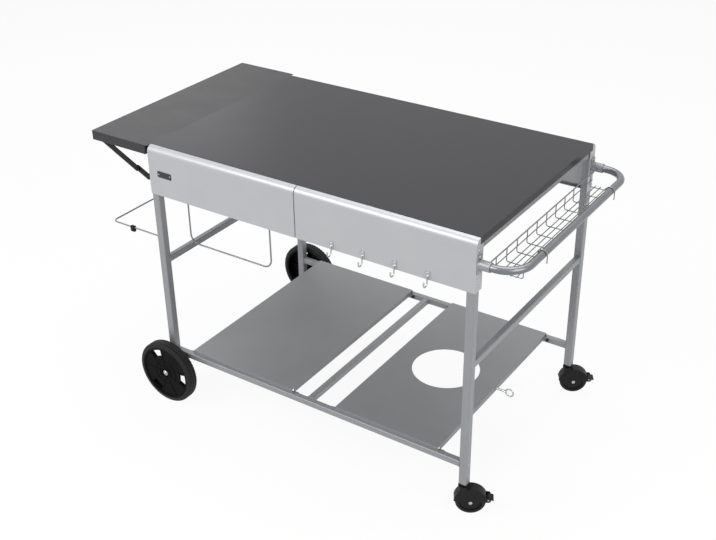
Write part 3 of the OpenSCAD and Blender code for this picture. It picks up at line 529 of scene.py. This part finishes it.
@dataclass
class Dressing:
    """Puts each finish on the CAD nodes that are made of it."""

    finishes: dict[Finish, tuple[str, ...]] = field(default_factory=lambda: {
        TOP_CHARCOAL: ("tabletop", "tabletop_ribs"),
        PANEL_SILVER: ("front_apron_left", "front_apron_right", "back_apron"),
        FRAME_SILVER: (
            "leg_front_left", "leg_front_right", "leg_back_left", "leg_back_right",
            "top_side_rails", "top_centre_rail", "lower_front_rail", "lower_back_rail",
            "centre_bar", "crossbar_left", "crossbar_right", "handle_sockets",
            "towel_brackets"),
        SHELF_SILVER: ("bottle_shelf", "tank_shelf"),
        BLACK_COAT: ("side_shelf", "badge_plate"),
        BLACK_STEEL: (
            "shelf_bolts", "hinge_leaves_fixed", "hinge_leaves_moving", "strut_hangers",
            "strut_anchors", "strut_upper_front", "strut_lower_front",
            "strut_upper_back", "strut_lower_back", "caster_stems"),
        HANDLE_PLATE: ("handle_tube",),
        BRIGHT_PLATE: (
            "frame_bolts", "screw_nut", "eye_screw", "hinge_pins", "tool_hooks",
            "axle_hardware", "caster_axle_front", "caster_axle_back"),
        WIRE_PLATE: ("spice_rack", "towel_wire", "bag_loop", "axle"),
        BLACK_PP: (
            "leg_inserts", "screw_pad", "bag_grommets", "bag_clips",
            "caster_fork_front", "caster_fork_back", "brake_pedal_front",
            "brake_pedal_back"),
        WHEEL_PP: ("wheel_core_front", "wheel_core_back"),
        TYRE_RUBBER: (
            "wheel_tyre_front", "wheel_tyre_back", "caster_wheel_front",
            "caster_wheel_back"),
    })
    materials: dict[Finish, bpy.types.Material] = field(default_factory=dict)

    def of(self, finish: Finish) -> bpy.types.Material:
        """Give a finish's material, made the first time it is asked for.

        Args:
            finish: the finish.

        Returns:
            Its material.
        """
        if finish not in self.materials:
            self.materials[finish] = finish.material()
        return self.materials[finish]

    def dress(self, nodes: dict[str, bpy.types.Object]) -> None:
        """Give every CAD node its finish.

        Args:
            nodes: the CAD nodes by name.
        """
        left = set(nodes)
        for finish, names in self.finishes.items():
            for name in names:
                mesh = nodes[name].data
                mesh.materials.clear()
                mesh.materials.append(self.of(finish))
                left.discard(name)
            LOG.info("finish %s on %d nodes", finish.name, len(names))
        for name in sorted(left):
            LOG.warning("node %s has no finish", name)


@dataclass
class Welds:
    """Weld beads round the square tubes where they butt on one another."""

    radius: float = 1.6 * MM
    ripple: float = 0.25 * MM
    puddles: int = 24
    squareness: float = 8.0
    steps: int = 96
    sides: int = 8
    cross_tubes: tuple[str, ...] = ("crossbar_left", "crossbar_right", "centre_bar")
    long_tubes: tuple[str, ...] = ("lower_front_rail", "lower_back_rail")

    def collar(self, centre: Vector, half: float, axis: int) -> Grid:
        """One bead: a small circle carried round the tube's rounded square.

        The square is reach(a) = half / (|cos a|^n + |sin a|^n)^(1/n), with n the
        squareness, and the bead's size is radius + ripple * cos(puddles * a), as
        the puddles of a weld make it.

        Args:
            centre: the middle of the joint.
            half: half the tube's width.
            axis: the tube's direction, 0 for X or 1 for Y.

        Returns:
            Points and quads.
        """
        turn, spin = circle(self.steps), circle(self.sides)
        c, s, n = np.cos(turn), np.sin(turn), self.squareness
        reach = half / (np.abs(c) ** n + np.abs(s) ** n) ** (1 / n)
        out = np.zeros((self.steps, 3))
        out[:, 1 - axis], out[:, 2] = c, s
        along = np.zeros_like(out)
        along[:, axis] = 1.0
        path = out * reach[:, None] + np.array(centre)
        size = self.radius + self.ripple * np.cos(self.puddles * turn)
        points = (path[:, None, :] + out[:, None, :] * (size[:, None] * np.cos(spin))[..., None]
                  + along[:, None, :] * (size[:, None] * np.sin(spin))[..., None])
        return points, grid_faces(self.steps, self.sides, True, True)

    def ends(self, span: Span, axis: int) -> list[Grid]:
        """Lay a bead at each end of one tube.

        Args:
            span: the tube's box.
            axis: its direction, 0 for X or 1 for Y.

        Returns:
            Two beads.
        """
        beads = []
        for end in (span.low, span.high):
            centre = span.mid
            centre[axis] = end[axis]
            beads.append(self.collar(centre, span.size.z / 2, axis))
        return beads

    def build(self, material: bpy.types.Material) -> None:
        """Lay every bead of the frame as one piece.

        Args:
            material: the frame's own coat, which covers its welds.
        """
        beads = []
        for names, axis in ((self.cross_tubes, 1), (self.long_tubes, 0)):
            for name in names:
                beads += self.ends(Span.of(name), axis)
        # Both side rails are one node, so each gets a box as wide as it is high
        rails = Span.of("top_side_rails")
        for end in (rails.low.x, rails.high.x):
            inner = end + math.copysign(rails.size.z, rails.mid.x - end)
            low, high = sorted((end, inner))
            rail = Span(Vector((low, rails.low.y, rails.low.z)),
                        Vector((high, rails.high.y, rails.high.z)))
            beads += self.ends(rail, 1)
        make_piece("weld_beads", join(beads), material, "frame")


@dataclass
class Rivets:
    """Low rivet heads on the name plate and on the hooks' tabs.

    A head is its radius and its height.
    """

    hooks: int = 4
    plate_edge: float = 5.5 * MM
    plate_head: tuple[float, float] = (2.2 * MM, 1.1 * MM)
    tab_half: float = 7.0 * MM
    tab_edge: float = 6.0 * MM
    tab_t: float = 1.5 * MM
    hook_head: tuple[float, float] = (3.4 * MM, 1.8 * MM)

    def build(self, material: bpy.types.Material) -> None:
        """Set all the rivet heads as one piece.

        Args:
            material: their plating.
        """
        plate, hooks = Span.of("badge_plate"), Span.of("tool_hooks")
        heads = [dome(*self.plate_head, (x, plate.low.y, plate.mid.z))
                 for x in (plate.low.x + self.plate_edge, plate.high.x - self.plate_edge)]
        tab_y = Span.of("front_apron_left").low.y - self.tab_t
        tabs = np.linspace(hooks.low.x + self.tab_half, hooks.high.x - self.tab_half, self.hooks)
        heads += [dome(*self.hook_head, (x, tab_y, hooks.high.z - self.tab_edge)) for x in tabs]
        make_piece("rivet_heads", join(heads), material, "frame")


@dataclass
class EyeScrew:
    """The clamping screw of the right shelf: a thread, a plain neck and a ring."""

    ring_r: float = 12.5 * MM
    wire_r: float = 2.5 * MM
    neck: float = 23.0 * MM
    depth: float = 0.62 * MM
    pitch: float = 1.25 * MM
    neck_cut: float = 0.12
    pitch_steps: int = 6
    steps: int = 32
    wire_steps: int = 16
    ring_steps: int = 64

    def thread(self, span: Span, ring_x: float) -> Grid:
        """A rod whose radius falls by the thread's depth between its crests.

        Radius(x, a) = major - depth * tri(x / pitch - a / turn), where tri runs
        from 0 to 1 and back; past the neck the rod is plain, and both ends
        close on the axis.

        Args:
            span: the screw's box.
            ring_x: the middle of its ring.

        Returns:
            Points and quads.
        """
        x = np.arange(span.low.x, ring_x - self.ring_r, self.pitch / self.pitch_steps)
        a = circle(self.steps)
        phase = (x[:, None] / self.pitch - a[None, :] / math.tau) % 1.0
        cut = np.where(x[:, None] < ring_x - self.neck, np.abs(2 * phase - 1), self.neck_cut)
        r = span.size.y / 2 - self.depth * cut
        r[0] = r[-1] = 0.0
        x[0] = x[1]
        xs = np.broadcast_to(x[:, None], r.shape)
        points = np.stack((xs, r * np.cos(a), span.mid.z + r * np.sin(a)), -1)
        return points, grid_faces(len(x), self.steps, False, True)

    def ring(self, span: Span, ring_x: float) -> Grid:
        """The ring: the wire's circle turned about the Y direction.

        Args:
            span: the screw's box.
            ring_x: the middle of the ring.

        Returns:
            Points and quads.
        """
        t = circle(self.wire_steps)
        profile = np.stack([self.ring_r + self.wire_r * np.cos(t), self.wire_r * np.sin(t)], -1)
        return revolve(profile, (ring_x, 0.0, span.mid.z), self.ring_steps)

    def build(self, material: bpy.types.Material) -> None:
        """Make the screw, which stands for its CAD node.

        Args:
            material: its plating.
        """
        span = Span.of("eye_screw")
        ring_x = span.high.x - self.ring_r - self.wire_r
        piece = make_piece("eye_screw_threaded",
                           join([self.thread(span, ring_x), self.ring(span, ring_x)]),
                           material, "eye_screw")
        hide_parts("eye_screw")


@dataclass
class Tyre:
    """A solid rubber tyre with grooves round it and sipes across its shoulders.

    The grooves lie a seventh of the width from the middle. A step is an eighth
    of the way from one sipe to the next, and a sipe is two steps wide.
    """

    end: str
    crown: float = 7.0 * MM
    crown_steps: int = 9
    lean: float = 1.2 * MM
    groove: float = 2.5 * MM
    groove_depth: float = 2.0 * MM
    groove_flare: float = 0.3 * MM
    groove_part: float = 7.0
    sipes: int = 60
    sipe_steps: int = 8
    sipe_wide: int = 2
    sipe_depth: float = 1.6 * MM
    sipe_gap: float = 0.4 * MM
    shoulder: float = 0.8
    bead_at: tuple[float, ...] = (0.0, 0.4 * MM, 1.2 * MM, 2.4 * MM, 3.2 * MM)
    bead_out: float = 0.7 * MM

    def section(self, radius: float, wall: float,
                width: float) -> tuple[np.ndarray, np.ndarray]:
        """Half of the tyre's outline, from its inner edge over the side to the middle.

        A raised bead runs round the foot of the side wall, which leans in
        towards the shoulder; the shoulder is a quarter circle of the crown's
        radius, and the tread has one groove a side.

        Args:
            radius: outer radius.
            wall: thickness from the rim to the tread.
            width: width of the tyre.

        Returns:
            Radius and place across, for each point.
        """
        half = width / 2
        foot_r = radius - wall + np.array(self.bead_at)
        foot_y = -half + self.bead_out * np.array([1.0, 0.0, 0.0, 0.0, 1.0])
        arc = np.linspace(0, math.pi / 2, self.crown_steps)
        crown_r = radius - self.crown + self.crown * np.sin(arc)
        crown_y = -half + self.lean + self.crown * (1 - np.cos(arc))
        mid, g, flare = width / self.groove_part, self.groove / 2, self.groove_flare
        tread_r = radius - self.groove_depth * np.array([0.0, 1.0, 1.0, 0.0, 0.0])
        tread_y = np.array([-mid - g - flare, -mid - g, -mid + g, -mid + g + flare, 0.0])
        return (np.concatenate([foot_r, crown_r, tread_r]),
                np.concatenate([foot_y, crown_y, tread_y]))

    def build(self, material: bpy.types.Material) -> None:
        """Make the tyre about its axle: the section turned round it.

        The radius falls by the sipe's depth in narrow bands of turn on the
        shoulders.

        Args:
            material: the rubber.
        """
        span, core = Span.of(f"wheel_tyre_{self.end}"), Span.of(f"wheel_core_{self.end}")
        radius, width = span.size.z / 2, span.size.y
        half_r, half_y = self.section(radius, radius - core.size.z / 2, width)
        r = np.concatenate([half_r, half_r[-2::-1]])
        y = np.concatenate([half_y, -half_y[-2::-1]])
        steps = self.sipes * self.sipe_steps
        turn = circle(steps)[:, None]
        band = (np.arange(steps) % self.sipe_steps < self.sipe_wide)[:, None]
        tread = width / self.groove_part + self.groove / 2 + self.sipe_gap
        shoulder = (np.abs(y) > tread) & (r > radius - self.crown * self.shoulder)
        rr = r[None, :] - self.sipe_depth * (band & shoulder[None, :])
        points = np.stack((span.mid.x + rr * np.sin(turn),
                           np.broadcast_to(span.mid.y + y, rr.shape),
                           span.mid.z + rr * np.cos(turn)), -1)
        piece = make_piece(f"tyre_{self.end}", (points, grid_faces(steps, len(r), True, True)),
                           material, f"wheel_{self.end}")
        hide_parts(f"wheel_tyre_{self.end}")


@dataclass
class WheelFace:
    """Moulded ribs and rings that stand on the outer face of a wheel's centre.

    The face lies sunk within the tyre's side.
    """

    end: str
    ribs: int = 9
    first_rib_deg: float = 136.0
    rib_in: float = 24.0 * MM
    rib_out: float = 87.0 * MM
    rings: tuple[float, ...] = (24.0 * MM, 42.0 * MM)
    ring_steps: int = 96
    half_w: float = 1.6 * MM
    proud: float = 1.5 * MM
    sunk: float = 3.0 * MM

    def build(self, material: bpy.types.Material) -> None:
        """Stand the ribs and rings on the wheel as one piece.

        Args:
            material: the wheel centre's polymer.
        """
        span, tyre = Span.of(f"wheel_core_{self.end}"), Span.of(f"wheel_tyre_{self.end}")
        out = -1.0 if self.end == "front" else 1.0
        face_y = tyre.mid.y + out * (tyre.size.y / 2 - self.sunk)
        face = Face(centre=np.array((span.mid.x, face_y, span.mid.z)),
                    level=np.array((-out, 0, 0)), rise=np.array((0, 0, 1.0)),
                    up=np.array((0, out, 0)), half_w=self.half_w, proud=self.proud)
        turns = math.radians(self.first_rib_deg) + circle(self.ribs)
        parts = face.ribs(self.rib_in, self.rib_out, turns)
        parts += [face.curve(radius, circle(self.ring_steps), closed=True)
                  for radius in self.rings]
        make_piece(f"wheel_face_{self.end}", join(parts), material, f"wheel_{self.end}")


@dataclass
class CasterTrim:
    """Moulded beads on both cheeks of a caster's hood.

    A lip follows the hood's edge, a ring stands round the axle's head and
    short ribs run from the one to the other.
    """

    end: str
    cheek_y: float = 16.5 * MM
    lip_r: float = 46.0 * MM
    lip_deg: tuple[float, float] = (8.0, 172.0)
    lip_steps: int = 61
    ring_r: float = 9.5 * MM
    ring_steps: int = 48
    ribs_deg: tuple[float, ...] = (40.0, 65.0, 90.0, 115.0, 140.0)
    rib_in: float = 14.0 * MM
    half_w: float = 1.1 * MM
    proud: float = 0.9 * MM

    def build(self, material: bpy.types.Material) -> None:
        """Lay the beads of both cheeks as one piece, turned as the caster stands.

        Args:
            material: the hood's polymer.
        """
        # Trail is the level direction from the swivel's post to the wheel behind it
        hub = np.array(Span.of(f"caster_wheel_{self.end}").mid)
        post = np.array(Span.of(f"leg_{self.end}_right").mid)
        trail = (hub - post) * (1, 1, 0)
        trail /= np.linalg.norm(trail)
        rise = np.array((0, 0, 1.0))
        axle = np.cross(rise, trail)
        parts = []
        for up in (axle, -axle):
            face = Face(centre=hub + self.cheek_y * up, level=trail, rise=rise, up=up,
                        half_w=self.half_w, proud=self.proud)
            lip = np.radians(np.linspace(*self.lip_deg, self.lip_steps))
            parts.append(face.curve(self.lip_r, lip, closed=False))
            parts.append(face.curve(self.ring_r, circle(self.ring_steps), closed=True))
            parts += face.ribs(self.rib_in, self.lip_r, np.radians(self.ribs_deg))
        make_piece(f"caster_trim_{self.end}", join(parts), material, f"caster_{self.end}")


# Studio


@dataclass(frozen=True)
class Lamp:
    """A square soft lamp: its place, the point it faces, its side and its watts."""

    name: str
    place: tuple[float, float, float]
    aim: tuple[float, float, float]
    side: float
    power: float

    def hang(self) -> None:
        """Put the lamp into the scene."""
        data = bpy.data.lights.new(self.name, "AREA")
        data.shape = "SQUARE"
        data.size = self.side
        data.energy = self.power
        lamp = bpy.data.objects.new(self.name, data)
        bpy.context.scene.collection.objects.link(lamp)
        lamp.location = self.place
        ray = Vector(self.aim) - Vector(self.place)
        lamp.rotation_euler = ray.to_track_quat("-Z", "Y").to_euler()


@dataclass
class Studio:
    """The pale floor, the soft lights and the camera.

    The camera stands at the place, the angles and the focal length that were
    fitted to the photograph, whose frame is 716 by 540 px.
    """

    eye: tuple[float, float, float] = (1.7391, -2.5634, 2.2192)
    yaw_deg: float = 34.186
    pitch_deg: float = 29.676
    roll_deg: float = 0.816
    focal_px: float = 1110.4
    frame_px: float = 716.0
    sensor_mm: float = 36.0
    far_m: float = 100.0
    floor_m: float = 60.0
    floor_tone: str = "F6F6F6"
    floor_white: float = 0.93
    sky: float = 0.30
    lamps: tuple[Lamp, ...] = (
        Lamp("key", (-1.6, -3.2, 3.4), (0.0, 0.0, 0.6), 2.4, 112.0),
        Lamp("fill", (3.4, -1.2, 2.4), (0.2, 0.0, 0.6), 2.4, 52.0),
        Lamp("top", (0.0, 0.8, 3.8), (0.0, 0.0, 0.8), 3.0, 72.0),
        Lamp("back", (-3.4, 2.3, 1.9), (-0.5, 0.1, 0.8), 1.6, 9.0))

    def camera(self) -> None:
        """Place the camera: it looks along yaw, pitch and roll from the eye."""
        y, p, r = (math.radians(a) for a in (self.yaw_deg, self.pitch_deg, self.roll_deg))
        ahead = Vector((-math.sin(y) * math.cos(p), math.cos(y) * math.cos(p), -math.sin(p)))
        level = Vector((math.cos(y), math.sin(y), 0.0))
        down = ahead.cross(level)
        right = level * math.cos(r) + down * math.sin(r)
        lower = down * math.cos(r) - level * math.sin(r)
        data = bpy.data.cameras.new("camera")
        data.sensor_fit = "HORIZONTAL"
        data.sensor_width = self.sensor_mm
        data.lens = self.sensor_mm * self.focal_px / self.frame_px
        data.clip_end = self.far_m
        cam = bpy.data.objects.new("camera", data)
        bpy.context.scene.collection.objects.link(cam)
        turn = Matrix((right, -lower, -ahead)).transposed()
        cam.matrix_world = Matrix.Translation(Vector(self.eye)) @ turn.to_4x4()
        bpy.context.scene.camera = cam

    @staticmethod
    def seen(tree: bpy.types.NodeTree) -> bpy.types.NodeSocket:
        """Tell the rays that see the background from those that light things.

        Args:
            tree: the node tree.

        Returns:
            A socket that is 1 for camera, glossy and transmission rays, else 0.
        """
        path = add_node(tree, "ShaderNodeLightPath").outputs
        total = path["Is Camera Ray"]
        for ray in ("Is Glossy Ray", "Is Transmission Ray"):
            total = add_node(tree, "ShaderNodeMath", {0: total, 1: path[ray]},
                             operation="ADD", use_clamp=True).outputs["Value"]
        return total

    def floor(self) -> None:
        """Lay a pale floor that stays white to the camera and keeps a faint shadow."""
        half = self.floor_m / 2
        corners = [(-half, -half, 0), (half, -half, 0), (half, half, 0), (-half, half, 0)]
        mesh = bpy.data.meshes.new("floor")
        mesh.from_pydata(corners, [], [(0, 1, 2, 3)])
        mat = bpy.data.materials.new("white sweep")
        mat.use_nodes = True
        tree = mat.node_tree
        tree.nodes.clear()
        share = add_node(tree, "ShaderNodeMath", {0: self.seen(tree), 1: self.floor_white},
                         operation="MULTIPLY")
        lit = add_node(tree, "ShaderNodeBsdfDiffuse", {"Color": linear(self.floor_tone)})
        white = add_node(tree, "ShaderNodeEmission", {"Color": WHITE, "Strength": 1.0})
        mix = add_node(tree, "ShaderNodeMixShader",
                       {0: share.outputs["Value"], 1: lit.outputs["BSDF"],
                        2: white.outputs["Emission"]})
        add_node(tree, "ShaderNodeOutputMaterial", {"Surface": mix.outputs["Shader"]})
        mesh.materials.append(mat)
        ground = bpy.data.objects.new("floor", mesh)
        bpy.context.scene.collection.objects.link(ground)

    def world(self) -> None:
        """Surround the scene with an even soft white, which looks fully white."""
        world = bpy.data.worlds.new("studio")
        world.use_nodes = True
        tree = world.node_tree
        tree.nodes.clear()
        strength = add_node(tree, "ShaderNodeMix",
                            {"Factor": self.seen(tree), "A": self.sky, "B": 1.0},
                            data_type="FLOAT")
        back = add_node(tree, "ShaderNodeBackground",
                        {"Color": WHITE, "Strength": strength.outputs["Result"]})
        add_node(tree, "ShaderNodeOutputWorld", {"Surface": back.outputs["Background"]})
        bpy.context.scene.world = world

    def build(self) -> None:
        """Set up the whole studio."""
        self.camera()
        self.floor()
        self.world()
        for lamp in self.lamps:
            lamp.hang()
        scene = bpy.context.scene
        scene.view_settings.view_transform = "Standard"
        LOG.info("studio: %.1f mm lens, %d lamps", scene.camera.data.lens, len(self.lamps))


def main() -> None:
    """Load the frame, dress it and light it."""
    logging.basicConfig(level=logging.INFO, format="%(message)s")
    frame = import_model()
    Studio().build()
    dressing = Dressing()
    dressing.dress(frame["nodes"])
    Welds().build(dressing.of(FRAME_SILVER))
    Rivets().build(dressing.of(BRIGHT_PLATE))
    EyeScrew().build(dressing.of(BRIGHT_PLATE))
    for end in ("front", "back"):
        Tyre(end).build(dressing.of(TYRE_RUBBER))
        WheelFace(end).build(dressing.of(WHEEL_PP))
        CasterTrim(end).build(dressing.of(BLACK_PP))


if __name__ == "__main__":
    main()
